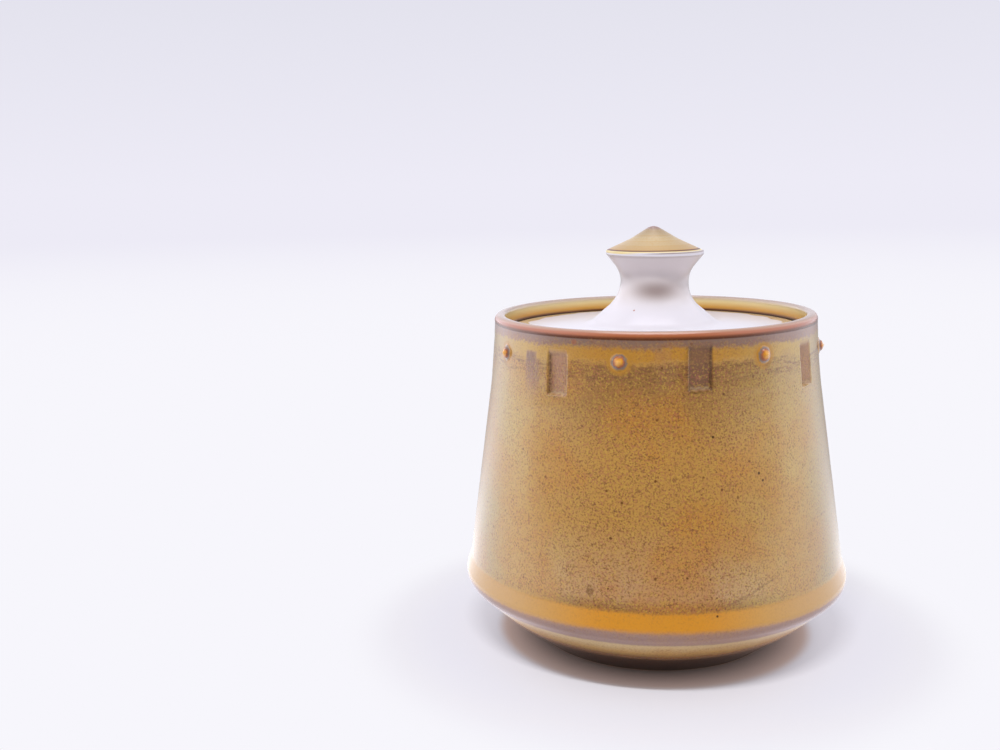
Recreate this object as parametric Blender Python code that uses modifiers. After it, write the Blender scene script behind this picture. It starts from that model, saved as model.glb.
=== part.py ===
"""Stoneware sugar jar with a lift-off lid.

Metres, +Z up, real size. The origin is the centre of the standing ring, on the table. The jar and its
lid are turned about Z. The front of the jar faces -Y, and a bearing is an angle round Z that starts at
the front and grows towards +X.
"""

import math

import bpy
from mathutils import Vector

# Standing ring and the turned underside
FOOT_RADIUS = 0.0340
FOOT_RING_WIDTH = 0.0045
FOOT_RECESS = 0.0022
FOOT_RECESS_SLOPE = 0.0011
FOOT_ROUND = 0.0006

# Outside of the jar, from the underside up to the neck. The reach is measured out from the standing
# ring, the inset in from the belly, and the flare and the drop from the rim.
CHAMFER_REACH = 0.0113
CHAMFER_HEIGHT = 0.0085
CHAMFER_ROUND = 0.0060
BELLY_RADIUS = 0.0550
BELLY_HEIGHT = 0.0173
BELLY_BAND = 0.0026
BELLY_ROUND = 0.0037
BELLY_SHOULDER_ROUND = 0.0015
WALL_FOOT_INSET = 0.0013
WALL_FOOT_RISE = 0.0063
WALL_FOOT_ROUND = 0.0050
NECK_FLARE = 0.00044
NECK_DROP = 0.0129
NECK_ROUND = 0.2000

# Rim, and the gallery inside it that the lid rests on
RIM_RADIUS = 0.0453
RIM_HEIGHT = 0.0939
RIM_THICKNESS = 0.0030
RIM_OUTER_ROUND = 0.0018
RIM_INNER_ROUND = 0.0011
GALLERY_DEPTH = 0.0081
GALLERY_WIDTH = 0.0040
GALLERY_LIP = 0.0030
GALLERY_ROUND = 0.0008
GALLERY_CORNER_ROUND = 0.0004

# Inside of the jar
WALL_THICKNESS = 0.0042
FLOOR_THICKNESS = 0.0048
FLOOR_ROUND = 0.0060
SHELF_DROP = 0.0065
SHELF_ROUND = 0.0030
LIP_ROUND = 0.0015

# Upright rectangles pressed into the wall under the rim. They stray a little from even places, as marks
# set by hand do: the drift turns each one, and the lift raises it by a share of its own height.
STAMP_WIDTH = 0.0058
STAMP_TALL = 0.0109
STAMP_DEPTH = 0.0009
STAMP_DROP = 0.0112
STAMP_EDGE_ROUND = 0.0003
STAMP_LEAN_SHARE = 0.5
STAMP_COUNT = 8
STAMP_FIRST_DEG = -35.0
STAMP_DRIFT_DEG = (2.8, 4.8, 5.2, 3.3, 0.4, -1.1, -4.0, -6.0)
STAMP_LIFT_SHARES = (-0.055, 0.147, -0.046, 0.050, -0.020, 0.080, 0.000, -0.060)

# Pellets of clay stuck on between the rectangles, low pointed domes that stray in the same way
PELLET_RADIUS = 0.0021
PELLET_CORE_RADIUS = 0.0013
PELLET_CORE_RISE = 0.0008
PELLET_CORE_ROUND = 0.0006
PELLET_RISE = 0.0013
PELLET_TIP_RADIUS = 0.0004
PELLET_TIP_ROUND = 0.0002
PELLET_EDGE = 0.0002
PELLET_DROP = 0.0082
PELLET_COUNT = 8
PELLET_FIRST_DEG = -57.5
PELLET_DRIFT_DEG = (-1.6, 1.9, 4.9, 4.8, 2.1, -0.7, -2.4, -5.1)
PELLET_LIFT_SHARES = (-0.20, 0.20, 0.45, -0.50, 0.10, -0.30, 0.30, 0.00)

# Lid
LID_CLEARANCE = 0.0005
SEAT_GAP = 0.0003
LID_EDGE_THICKNESS = 0.0034
LID_EDGE_ROUND = 0.0009
LID_UNDER_ROUND = 0.0004
LID_RISE = 0.0012
LID_THICKNESS = 0.0038
LID_SEAT_WIDTH = 0.0045
LID_HOLLOW_STEP = 0.0008
LID_HOLLOW_SLOPE = 0.0030

# Knob
KNOB_WAIST_RADIUS = 0.0096
KNOB_WAIST_RISE = 0.0116
KNOB_SWEEP_RADIUS = 0.0093
KNOB_SWEEP_DEG = 50.0
KNOB_FOOT_ROUND = 0.0060
KNOB_NECK_RADIUS = 0.0078
KNOB_FLARE_DEG = 38.0
KNOB_CAP_RADIUS = 0.0137
KNOB_CAP_EDGE = 0.0010
KNOB_CAP_ROUND = 0.0004
KNOB_SKIRT_WIDTH = 0.0071
KNOB_SKIRT_RISE = 0.0032
KNOB_SKIRT_ROUND = 0.0120
KNOB_CONE_RISE = 0.0066
KNOB_TIP_WIDTH = 0.0014
KNOB_TIP_DROP = 0.0003
KNOB_TIP_ROUND = 0.0016

# Fits and overruns
SLIP_JOINT = 0.0003
CUT_OVERRUN = 0.0020
MERGE_DISTANCE = 0.00001

# Facets
JAR_STEPS = 64
KNOB_STEPS = 40
PELLET_STEPS = 12
ARC_STEP_DEG = 30.0
SHARP_DEG = 34.0

# Places that follow from the sizes above
CHAMFER_RADIUS = FOOT_RADIUS + CHAMFER_REACH
WALL_FOOT_RADIUS = BELLY_RADIUS - WALL_FOOT_INSET
WALL_FOOT_HEIGHT = BELLY_HEIGHT + WALL_FOOT_RISE
NECK_RADIUS = RIM_RADIUS + NECK_FLARE
NECK_HEIGHT = RIM_HEIGHT - NECK_DROP
STAMP_HEIGHT = RIM_HEIGHT - STAMP_DROP
PELLET_HEIGHT = RIM_HEIGHT - PELLET_DROP
GALLERY_RADIUS = RIM_RADIUS - RIM_THICKNESS
LEDGE_HEIGHT = RIM_HEIGHT - GALLERY_DEPTH
MOUTH_RADIUS = GALLERY_RADIUS - GALLERY_WIDTH
FLOOR_HEIGHT = FOOT_RECESS + FLOOR_THICKNESS
LID_RADIUS = GALLERY_RADIUS - LID_CLEARANCE
LID_BOTTOM = LEDGE_HEIGHT + SEAT_GAP
LID_EDGE_TOP = LID_BOTTOM + LID_EDGE_THICKNESS
LID_TOP = LID_EDGE_TOP + LID_RISE
WAIST_HEIGHT = LID_TOP + KNOB_WAIST_RISE


def clear_scene():
    for obj in list(bpy.data.objects):
        bpy.data.objects.remove(obj, do_unlink=True)


def new_collection(name):
    collection = bpy.data.collections.new(name)
    bpy.context.scene.collection.children.link(collection)
    return collection


def linear(hex_colour):
    """The linear colour of an sRGB hex value."""
    channels = [int(hex_colour[i : i + 2], 16) / 255 for i in (0, 2, 4)]
    return [c / 12.92 if c <= 0.04045 else ((c + 0.055) / 1.055) ** 2.4 for c in channels]


def new_material(name, hex_colour, roughness):
    material = bpy.data.materials.new(name)
    material.use_nodes = True
    shader = material.node_tree.nodes["Principled BSDF"]
    shader.inputs["Base Color"].default_value = (*linear(hex_colour), 1.0)
    shader.inputs["Roughness"].default_value = roughness
    shader.inputs["Metallic"].default_value = 0.0
    return material


def arc(centre, radius, start_deg, end_deg):
    """Points along an arc, both ends included. Angles run from +radius towards +height."""
    steps = max(2, math.ceil(abs(end_deg - start_deg) / ARC_STEP_DEG))
    angles = [math.radians(start_deg + (end_deg - start_deg) * i / steps) for i in range(steps + 1)]
    return [Vector((centre[0] + radius * math.cos(a), centre[1] + radius * math.sin(a))) for a in angles]


def rounding_reaches(spots, roundings):
    """How far each corner's rounding runs along its two sides, held to the room that the sides have."""
    reaches = [0.0]
    for before, here, after, rounding in zip(spots, spots[1:], spots[2:], roundings[1:]):
        half = (before - here).angle(after - here) / 2
        reaches.append(rounding / math.tan(half))
    reaches.append(0.0)
    fits = [1.0]
    for i in range(len(spots) - 1):
        wanted = reaches[i] + reaches[i + 1]
        side = (spots[i + 1] - spots[i]).length
        fits.append(min(1.0, side / wanted) if wanted else 1.0)
    fits.append(1.0)
    return [reach * min(fits[i : i + 2]) for i, reach in enumerate(reaches)]


def rounded(corners):
    """An outline through (radius, height, rounding) corners, with each rounded corner made an arc."""
    spots = [Vector((radius, height)) for radius, height, _ in corners]
    reaches = rounding_reaches(spots, [rounding for _, _, rounding in corners])
    points = []
    for i, (here, reach) in enumerate(zip(spots, reaches)):
        if not reach:
            points.append(here)
            continue
        before = (spots[i - 1] - here).normalized()
        after = (spots[i + 1] - here).normalized()
        half = before.angle(after) / 2
        start = here + before * reach
        end = here + after * reach
        centre = here + (before + after).normalized() * (reach / math.cos(half))
        first = math.degrees(math.atan2(*(start - centre).yx))
        turn = (math.degrees(math.atan2(*(end - centre).yx)) - first + 180) % 360 - 180
        points.extend(arc(centre, reach * math.tan(half), first, first + turn))
    return points


def radius_and_lean(line, height):
    """The radius and the lean of an outline where it passes a height, going down its outer side."""
    for above, below in zip(line, line[1:]):
        if above.y >= height > below.y:
            share = (above.y - height) / (above.y - below.y)
            run = below - above
            return above.x + run.x * share, math.atan2(run.x, -run.y)
    raise ValueError("the outline doesn't reach that height")


def finish(obj, collection, material):
    """Applies the object's modifiers, shades it smooth up to the sharp angle and gives it its material."""
    collection.objects.link(obj)
    bpy.context.view_layer.update()
    graph = bpy.context.evaluated_depsgraph_get()
    mesh = bpy.data.meshes.new_from_object(obj.evaluated_get(graph))
    obj.modifiers.clear()
    obj.data = mesh
    mesh.name = obj.name
    mesh.materials.clear()
    mesh.materials.append(material)
    mesh.shade_smooth()
    mesh.set_sharp_from_angle(angle=math.radians(SHARP_DEG))
    return obj


def turned(name, outline, steps):
    """An object turned about its Z axis from an outline that starts and ends on the axis."""
    mesh = bpy.data.meshes.new(name)
    edges = [(i, i + 1) for i in range(len(outline) - 1)]
    mesh.from_pydata([(p.x, 0.0, p.y) for p in outline], edges, [])
    obj = bpy.data.objects.new(name, mesh)
    screw = obj.modifiers.new("turn", "SCREW")
    screw.axis = "Z"
    screw.angle = math.tau
    screw.steps = steps
    screw.render_steps = steps
    screw.use_merge_vertices = True
    screw.merge_threshold = MERGE_DISTANCE
    return obj


def outer_wall():
    """The outside of the jar, from the rim's crest down to the edge of the standing ring."""
    return rounded(
        [
            (GALLERY_RADIUS + RIM_INNER_ROUND, RIM_HEIGHT, 0),
            (RIM_RADIUS, RIM_HEIGHT, RIM_OUTER_ROUND),
            (NECK_RADIUS, NECK_HEIGHT, NECK_ROUND),
            (WALL_FOOT_RADIUS, WALL_FOOT_HEIGHT, WALL_FOOT_ROUND),
            (BELLY_RADIUS, BELLY_HEIGHT + BELLY_BAND, BELLY_SHOULDER_ROUND),
            (BELLY_RADIUS, BELLY_HEIGHT, BELLY_ROUND),
            (CHAMFER_RADIUS, CHAMFER_HEIGHT, CHAMFER_ROUND),
            (FOOT_RADIUS, 0, FOOT_ROUND),
            (FOOT_RADIUS - FOOT_RING_WIDTH, 0, 0),
        ]
    )


def inner_wall(wall):
    """The inside of the jar, from the middle of its floor up over the gallery to the rim's crest."""
    inner_belly = BELLY_RADIUS - WALL_THICKNESS
    lip_bottom = LEDGE_HEIGHT - GALLERY_LIP
    shelf_start = lip_bottom - SHELF_DROP
    inner_neck = radius_and_lean(wall, shelf_start)[0] - WALL_THICKNESS
    return rounded(
        [
            (0, FLOOR_HEIGHT, 0),
            (FOOT_RADIUS, FLOOR_HEIGHT, FLOOR_ROUND),
            (CHAMFER_RADIUS, CHAMFER_HEIGHT + WALL_THICKNESS, FLOOR_ROUND),
            (inner_belly, BELLY_HEIGHT + BELLY_BAND, FLOOR_ROUND),
            (inner_neck, shelf_start, SHELF_ROUND),
            (MOUTH_RADIUS, lip_bottom, LIP_ROUND),
            (MOUTH_RADIUS, LEDGE_HEIGHT, GALLERY_ROUND),
            (GALLERY_RADIUS, LEDGE_HEIGHT, GALLERY_CORNER_ROUND),
            (GALLERY_RADIUS, RIM_HEIGHT, RIM_INNER_ROUND),
            (GALLERY_RADIUS + RIM_INNER_ROUND, RIM_HEIGHT, 0),
        ]
    )


def underside():
    """The turned recess under the jar, from the inner edge of the standing ring to the axis."""
    recess_radius = FOOT_RADIUS - FOOT_RING_WIDTH - FOOT_RECESS_SLOPE
    return rounded(
        [
            (FOOT_RADIUS - FOOT_RING_WIDTH, 0, 0),
            (recess_radius, FOOT_RECESS, FOOT_ROUND),
            (0, FOOT_RECESS, 0),
        ]
    )


def bearings(first_deg, count, drift_deg):
    """Evenly spaced bearings, each moved by the drift of a mark that was placed by eye."""
    return [first_deg + 360 / count * k + drift_deg[k % len(drift_deg)] for k in range(count)]


def stamp_cutters(wall, collection):
    """One bevelled block for each pressed rectangle. Its inner face is the floor of the mark."""
    spots = bearings(STAMP_FIRST_DEG, STAMP_COUNT, STAMP_DRIFT_DEG)
    for number, bearing in enumerate(spots, start=1):
        lift = STAMP_TALL * STAMP_LIFT_SHARES[(number - 1) % len(STAMP_LIFT_SHARES)]
        height = STAMP_HEIGHT + lift
        radius, lean = radius_and_lean(wall, height)
        deep = STAMP_DEPTH + CUT_OVERRUN
        out = radius - STAMP_DEPTH + deep / 2
        turn = math.radians(bearing - 90)
        bpy.ops.mesh.primitive_cube_add(size=1)
        block = bpy.context.active_object
        block.name = f"stamp_cutter_{number}"
        for owner in list(block.users_collection):
            owner.objects.unlink(block)
        collection.objects.link(block)
        for vertex in block.data.vertices:
            vertex.co = Vector(vertex.co) * Vector((deep, STAMP_WIDTH, STAMP_TALL))
        block.location = (out * math.cos(turn), out * math.sin(turn), height)
        block.rotation_euler = (0, -lean * STAMP_LEAN_SHARE, turn)
        bevel = block.modifiers.new("soft edges", "BEVEL")
        bevel.width = STAMP_EDGE_ROUND
        bevel.segments = 1
        block.hide_render = True
        block.display_type = "WIRE"


def build_jar_body(wall, parts, cutters, glaze):
    outline = inner_wall(wall) + wall[1:] + underside()[1:]
    body = turned("jar_body", outline, JAR_STEPS)
    stamp_cutters(wall, cutters)
    cut = body.modifiers.new("pressed rectangles", "BOOLEAN")
    cut.operation = "DIFFERENCE"
    cut.solver = "EXACT"
    cut.operand_type = "COLLECTION"
    cut.collection = cutters
    return finish(body, parts, glaze)


def build_pellets(wall, parts, glaze):
    """Low pointed domes of clay, each flat against the wall, square to its slope."""
    outline = rounded(
        [
            (0, PELLET_RISE, 0),
            (PELLET_TIP_RADIUS, PELLET_RISE, PELLET_TIP_ROUND),
            (PELLET_CORE_RADIUS, PELLET_CORE_RISE, PELLET_CORE_ROUND),
            (PELLET_RADIUS, PELLET_EDGE, 0),
            (PELLET_RADIUS, 0, 0),
            (0, 0, 0),
        ]
    )
    spots = bearings(PELLET_FIRST_DEG, PELLET_COUNT, PELLET_DRIFT_DEG)
    for number, bearing in enumerate(spots, start=1):
        lift = PELLET_RADIUS * PELLET_LIFT_SHARES[(number - 1) % len(PELLET_LIFT_SHARES)]
        height = PELLET_HEIGHT + lift
        radius, lean = radius_and_lean(wall, height)
        turn = math.radians(bearing - 90)
        out = radius + SLIP_JOINT * math.cos(lean)
        pellet = turned(f"clay_pellet_{number}", outline, PELLET_STEPS)
        up = height + SLIP_JOINT * math.sin(lean)
        pellet.location = (out * math.cos(turn), out * math.sin(turn), up)
        pellet.rotation_euler = (0, math.radians(90) - lean, turn)
        finish(pellet, parts, glaze)


def sweep_centre():
    """The centre of the arc that sweeps down and out from the knob's waist."""
    return KNOB_WAIST_RADIUS + KNOB_SWEEP_RADIUS, WAIST_HEIGHT


def flank_radius(height):
    """The radius of the straight flank that runs on from the end of the sweep down to the lid."""
    out, up = sweep_centre()
    sweep = math.radians(KNOB_SWEEP_DEG)
    end_radius = out - KNOB_SWEEP_RADIUS * math.cos(sweep)
    end_height = up - KNOB_SWEEP_RADIUS * math.sin(sweep)
    return end_radius + (end_height - height) * math.tan(sweep)


def build_lid(parts, glaze):
    """A disc with a raised middle that carries the knob, and a flat ring that seats on the gallery."""
    sweep_end = WAIST_HEIGHT - KNOB_SWEEP_RADIUS * math.sin(math.radians(KNOB_SWEEP_DEG))
    joint_height = sweep_end - SLIP_JOINT
    hollow_radius = LID_RADIUS - LID_SEAT_WIDTH
    outline = rounded(
        [
            (0, joint_height, 0),
            (flank_radius(joint_height), joint_height, 0),
            (flank_radius(LID_TOP), LID_TOP, KNOB_FOOT_ROUND),
            (LID_RADIUS, LID_EDGE_TOP, LID_EDGE_ROUND),
            (LID_RADIUS, LID_BOTTOM, LID_UNDER_ROUND),
            (hollow_radius, LID_BOTTOM, 0),
            (hollow_radius - LID_HOLLOW_SLOPE, LID_BOTTOM + LID_HOLLOW_STEP, LID_HOLLOW_SLOPE),
            (0, LID_TOP - LID_THICKNESS, 0),
        ]
    )
    return finish(turned("lid", outline, JAR_STEPS), parts, glaze)


def build_knob(parts, stem_glaze, cone_glaze):
    """An hourglass stem under a low cone with a thin upright edge. The cone has a glaze of its own."""
    out, up = sweep_centre()
    neck_centre = (KNOB_WAIST_RADIUS + KNOB_NECK_RADIUS, WAIST_HEIGHT)
    neck = arc(neck_centre, KNOB_NECK_RADIUS, 180 - KNOB_FLARE_DEG, 180)
    sweep = arc((out, up), KNOB_SWEEP_RADIUS, 180, 180 + KNOB_SWEEP_DEG)
    flare_run = KNOB_CAP_RADIUS - neck[0].x
    edge_bottom = neck[0].y + flare_run / math.tan(math.radians(KNOB_FLARE_DEG))
    edge_top = edge_bottom + KNOB_CAP_EDGE
    top = edge_top + KNOB_CONE_RISE
    cap = rounded(
        [
            (0, top, 0),
            (KNOB_TIP_WIDTH, top - KNOB_TIP_DROP, KNOB_TIP_ROUND),
            (KNOB_CAP_RADIUS - KNOB_SKIRT_WIDTH, edge_top + KNOB_SKIRT_RISE, KNOB_SKIRT_ROUND),
            (KNOB_CAP_RADIUS, edge_top, KNOB_CAP_ROUND),
            (KNOB_CAP_RADIUS, edge_bottom, KNOB_CAP_ROUND),
            (neck[0].x, neck[0].y, 0),
        ]
    )
    outline = [*cap, *neck[1:], *sweep[1:], Vector((0, sweep[-1].y))]
    knob = finish(turned("knob", outline, KNOB_STEPS), parts, stem_glaze)
    knob.data.materials.append(cone_glaze)
    for polygon in knob.data.polygons:
        polygon.material_index = int(polygon.center.z > edge_bottom)
    return knob


def main():
    clear_scene()
    parts = new_collection("stoneware_sugar_jar")
    cutters = new_collection("cutters")
    wall = outer_wall()
    mustard = new_material("mustard_glaze", "B2894F", 0.32)
    orange = new_material("orange_glaze", "D98A3C", 0.22)
    white = new_material("white_glaze", "E4DEE2", 0.18)
    straw = new_material("straw_glaze", "D1B996", 0.25)
    build_jar_body(wall, parts, cutters, mustard)
    build_pellets(wall, parts, orange)
    lid = build_lid(parts, white)
    knob = build_knob(parts, white, straw)

    # The lid and its knob lift off together, straight up from the seat.
    lift = bpy.data.objects.new("lid_lift", None)
    lift.location = (0, 0, LID_BOTTOM)
    parts.objects.link(lift)
    bpy.context.view_layer.update()
    for piece in (lid, knob):
        piece.parent = lift
        piece.matrix_parent_inverse = lift.matrix_world.inverted()


if __name__ == "__main__":
    main()
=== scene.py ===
"""The looks of a small lidded stoneware sugar jar.

It is laid out as a Blender add-on and run as a script. Outlines are written in millimetres, as a
potter would draw them, and every finished mesh is in metres.
"""

import math

import bmesh
import bpy
from bpy.props import FloatProperty, FloatVectorProperty, PointerProperty
from mathutils import Matrix, Vector, noise


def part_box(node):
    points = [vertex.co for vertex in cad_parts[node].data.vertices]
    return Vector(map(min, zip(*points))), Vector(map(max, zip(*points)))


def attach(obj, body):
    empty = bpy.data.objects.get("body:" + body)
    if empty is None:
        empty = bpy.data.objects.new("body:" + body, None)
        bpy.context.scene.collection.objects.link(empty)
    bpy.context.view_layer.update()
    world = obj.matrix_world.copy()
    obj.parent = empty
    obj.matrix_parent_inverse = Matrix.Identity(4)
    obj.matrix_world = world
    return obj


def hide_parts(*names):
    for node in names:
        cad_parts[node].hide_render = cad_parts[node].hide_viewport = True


bl_info = {
    "name": "Stoneware Sugar Jar",
    "version": (1, 0, 0),
    "blender": (4, 5, 0),
    "location": "3D View > Sidebar > Sugar Jar",
    "description": "Throws, decorates and glazes a small lidded stoneware sugar jar",
    "category": "Add Mesh",
}

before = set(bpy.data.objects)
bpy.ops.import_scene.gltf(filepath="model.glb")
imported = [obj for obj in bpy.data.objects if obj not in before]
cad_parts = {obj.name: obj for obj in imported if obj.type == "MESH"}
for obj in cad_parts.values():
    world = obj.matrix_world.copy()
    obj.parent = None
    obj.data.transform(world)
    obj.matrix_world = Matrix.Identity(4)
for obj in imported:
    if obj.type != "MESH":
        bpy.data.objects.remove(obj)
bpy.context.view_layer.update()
JAR_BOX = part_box("jar_body")
LID_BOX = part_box("lid")
KNOB_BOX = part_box("knob")

MM = 0.001

# Sockets of the Mix node when it mixes colours, then those when it mixes values
MIX_A = 6
MIX_B = 7
MIX_RESULT = 2
MIX_LOW = 2
MIX_HIGH = 3

# Makes a Map Range node step softly
SMOOTH = {"interpolation_type": "SMOOTHSTEP"}

# Makes a number property a length
LENGTH = {"subtype": "DISTANCE", "unit": "LENGTH"}

# Millimetres of height that a colour ramp spans
RAMP_SPAN = 100.0

# Columns round each turned piece, the steps of its curves, how near a ring its points lie, and the
# angles over which its edges stay sharp
JAR_COLUMNS = 360
LID_COLUMNS = 256
PELLET_COLUMNS = 48
ARC_STEP = math.radians(4)
CORNER_STEP_DEG = 9
RING_REACH = 0.002
SHARP_ANGLE = math.radians(50)
LID_SHARP_ANGLE = math.radians(30)

# Lengths from here to the camera are in millimetres. Level rows cut into the jar: lowest, highest, spacing
WALL_ROWS = (27.0, 69.0, 3.0)
NECK_ROWS = (70.0, 91.7, 0.7)
INNER_ROWS = (21.0, 75.0, 3.0)

# The jar's floor, the recess and the ring under it, the low curve of its wall, the two turns of its belly,
# and the first ring round the middle of every flat disc
FLOOR_TOP = 7.0
RECESS_TOP = 2.2
RING_WIDTH = 4.5
CURVE_OUT = 11.3
CURVE_UP = 8.5
BELLY_LOW = 17.3
BELLY_HIGH = 19.9
HUB = 1.5

# The neck, where marks and pellets are: the height it starts at, a radius just inside its outer face,
# and about its own radius
NECK_FROM = 60.0
NECK_OUTSIDE = 44.2
NECK_RADIUS = 46.0

# How far a mark and its drag reach sideways and upwards, and a reach beyond every pellet
MARK_ASIDE = 14.0
MARK_ABOVE = 16.0
FAR_AWAY = 20.0

# The jar's own attributes, which its glaze reads
WALL_LAYERS = ("mark", "mark_pool_and_shade", "mark_ledge_and_highlight", "mark_tone", "pellet_reach", "smudge")

# The curves from the knob's waist down to its joint with the lid and up to the cone
SWEEP_RADIUS = 9.3
SWEEP_DEG = 50
NECK_SWEEP_RADIUS = 7.8

# The foot of the lid's slope and its edge, both over its underside, and its thickness
LID_SLOPE_FOOT = 4.6
LID_EDGE_TOP = 3.4
LID_THICK = 4.2

# How far a pellet is sunk into the wall
PELLET_SINK = 0.06

# The knob's cone and its edge, and its sunk underside
CONE_RISE = 6.6
CONE_EDGE = 1.0
KNOB_SEAT = 0.4

# The camera that fits the jar's ellipses: its place in metres, its two directions, its lens and sensor
CAMERA_PLACE = (0.0, -0.321542, 0.130613)
CAMERA_AHEAD = (-0.13543833, 0.97629502, -0.16883275)
CAMERA_UP = (-0.00279941, 0.17002512, 0.98543575)
LENS_MM = 40.32
SENSOR_MM = 36.0
CLIP_START = 0.01

# The paper floor in metres, and how far it lies under the standing ring
PAPER_RADIUS = 9.0
PAPER_SEGMENTS = 96
PAPER_DROP = 1e-4

# Each pressed mark: its bearing from the front towards the right, the height of its middle, its tilt,
# how much deeper its right side is pressed, how dark its left and right are painted, partly as glaze
# gathered thick and partly as painted shade, and how brown its floor is
MARKS = (
    (-32.2, 82.1, 0.5, -0.35, 0.80, 0.05, 0.10),
    (14.8, 84.3, -0.5, 0.15, 0.45, 0.95, 0.95),
    (60.2, 82.2, 1.0, -0.80, 0.10, 0.00, 0.05),
    (103.3, 83.25, -1.5, -0.10, 0.60, 0.25, 0.60),
    (145.4, 82.5, 0.8, 0.10, 0.40, 0.60, 0.20),
    (188.9, 83.6, -0.6, -0.15, 0.75, 0.15, 0.75),
    (231.0, 82.7, 1.4, 0.05, 0.30, 0.65, 0.35),
    (274.0, 82.05, -1.0, 0.10, 0.55, 0.40, 0.55),
)

# Each clay pellet: its bearing, the height of its middle, its breadth and its rise against the rest, and
# where its tip leans
PELLETS = (
    (-59.1, 85.3, 0.97, 1.04, 0.10, -0.05),
    (-10.6, 86.1, 1.02, 0.98, 0.12, 0.05),
    (37.4, 86.65, 0.98, 1.06, 0.02, 0.12),
    (82.3, 84.65, 1.00, 1.00, 0.00, 0.02),
    (124.6, 85.9, 1.04, 0.95, -0.08, 0.06),
    (166.8, 85.1, 0.96, 1.02, 0.05, -0.08),
    (210.1, 86.3, 1.01, 0.99, -0.12, 0.03),
    (252.4, 85.7, 0.99, 1.03, 0.06, 0.10),
)

# Faults of the glaze, and a painted shade on the front of the knob's waist: the middle and the half axes
# of an ellipsoid in metres, and the scratch's turn
SCRATCH_TURN = (0.0, math.radians(-19.4), math.radians(30.8))
SCRATCH = ((0.0247, -0.0475, 0.0274), (0.0125, 0.0060, 0.0004), SCRATCH_TURN)
BLISTER = ((-0.0199, -0.0408, 0.0906), (0.0010, 0.0010, 0.0009))
SMEAR = ((-0.0157, -0.0506, 0.0285), (0.0012, 0.0040, 0.0018))
SHADED_WAIST = ((0.0008, -0.0100, 0.1004), (0.0104, 0.0104, 0.0042))
STEM_SPOT = ((-0.0053, -0.0118, 0.0953), (0.0004, 0.0004, 0.0004))

# The larger iron spots on the front: the middle of each in metres and its radius in millimetres
IRON_SPOTS = (
    ((0.0161, -0.0515, 0.0229), 0.40),
    ((0.0148, -0.0453, 0.0673), 0.45),
    ((0.0265, -0.0412, 0.0572), 0.50),
    ((0.0276, -0.0409, 0.0553), 0.45),
)


def linear(hex_colour):
    """The linear colour of an sRGB hex value, with full alpha."""
    channels = [int(hex_colour[i : i + 2], 16) / 255 for i in (0, 2, 4)]
    curved = [c / 12.92 if c <= 0.04045 else ((c + 0.055) / 1.055) ** 2.4 for c in channels]
    return (*curved, 1.0)


def label(name):
    """What the panel calls a value, from its own name."""
    return name.replace("_", " ").title()


def number_property(name, default, description, **settings):
    return FloatProperty(name=label(name), description=description, default=default, min=0.0, **settings)


def colour_property(name, hex_colour, description):
    settings = {"description": description, "default": linear(hex_colour), "subtype": "COLOR", "size": 4}
    return FloatVectorProperty(name=label(name), min=0.0, max=1.0, **settings)


# The jar's sizes in metres, each with what it measures
SIZES = {
    "foot_radius": (0.0340, "Outer radius of the standing ring"),
    "belly_radius": (JAR_BOX[1].x, "Radius of the jar at its widest band"),
    "rim_radius": (0.0453, "Outer radius of the rim"),
    "rim_height": (JAR_BOX[1].z, "Height of the rim's crest"),
    "rim_thickness": (0.0030, "Thickness of the rim"),
    "gallery_depth": (0.0081, "How far the lid's ledge lies below the rim"),
    "gallery_width": (0.0040, "Width of the lid's ledge"),
    "wall_thickness": (0.0042, "Thickness of the thrown wall"),
    "mark_width": (0.0058, "Width of each pressed rectangle"),
    "mark_tall": (0.0109, "Height of each pressed rectangle"),
    "mark_depth": (0.0009, "How deep the rectangles are pressed"),
    "pellet_radius": (0.0024, "Radius of each clay pellet with its skirt"),
    "pellet_rise": (0.0015, "How far a pellet's tip stands off the wall"),
    "lid_radius": (LID_BOX[1].x, "Radius of the lid's edge"),
    "knob_radius": (KNOB_BOX[1].x, "Radius of the knob's cone"),
    "waist_radius": (0.0096, "Radius of the knob's waist"),
}


class SugarJarSizes(bpy.types.PropertyGroup):
    """Sizes of the jar, its lid and its knob."""

    __annotations__ = {name: number_property(name, *size, **LENGTH) for name, size in SIZES.items()}


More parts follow.
